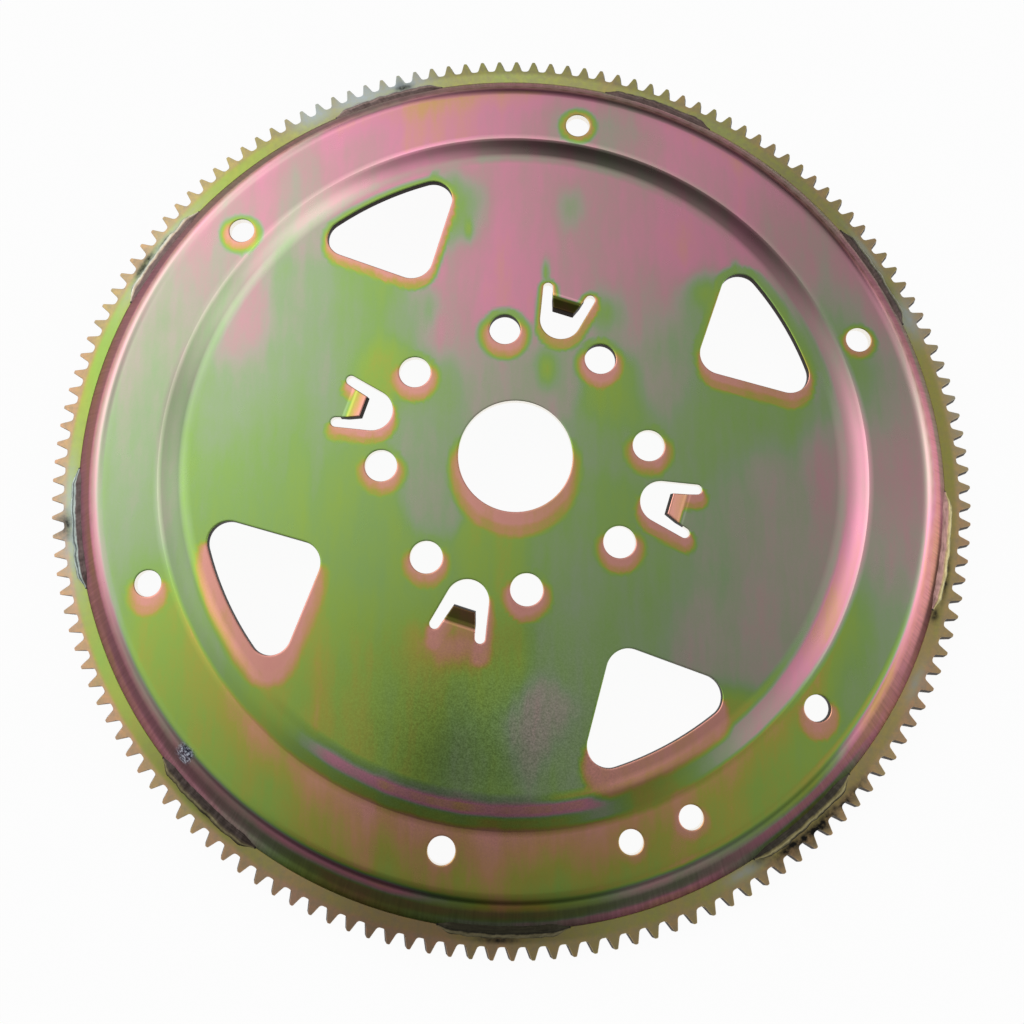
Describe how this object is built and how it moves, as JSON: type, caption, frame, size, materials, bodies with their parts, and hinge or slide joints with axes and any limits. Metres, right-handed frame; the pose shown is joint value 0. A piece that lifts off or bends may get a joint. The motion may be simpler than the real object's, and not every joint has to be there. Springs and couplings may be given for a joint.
{
  "type": "flexplate",
  "caption": "Dished sheet-steel drive plate with lightening windows, bent tabs and a toothed ring gear welded round its rim.",
  "frame": {"origin": "on the disc's axis, in the plane of the ring gear's back face, on which the part lies", "axes": "+Z along the disc's axis, towards the raised hub face; +X through one of the crankshaft bolt holes"},
  "size_m": [0.3912, 0.3912, 0.0314],
  "materials": {
    "disc": "yellow zinc plated, iridescent green and pink",
    "ring_gear": "yellow zinc plated, machined teeth",
    "weld": "plated weld bead"
  },
  "bodies": {
    "root": {"disc": "disc", "ring_gear": "ring_gear", "rim_weld_1": "weld", "rim_weld_2": "weld", "rim_weld_3": "weld", "rim_weld_4": "weld", "rim_weld_5": "weld", "rim_weld_6": "weld", "rim_weld_7": "weld", "rim_weld_8": "weld", "rim_weld_9": "weld"}
  },
  "joints": []
}
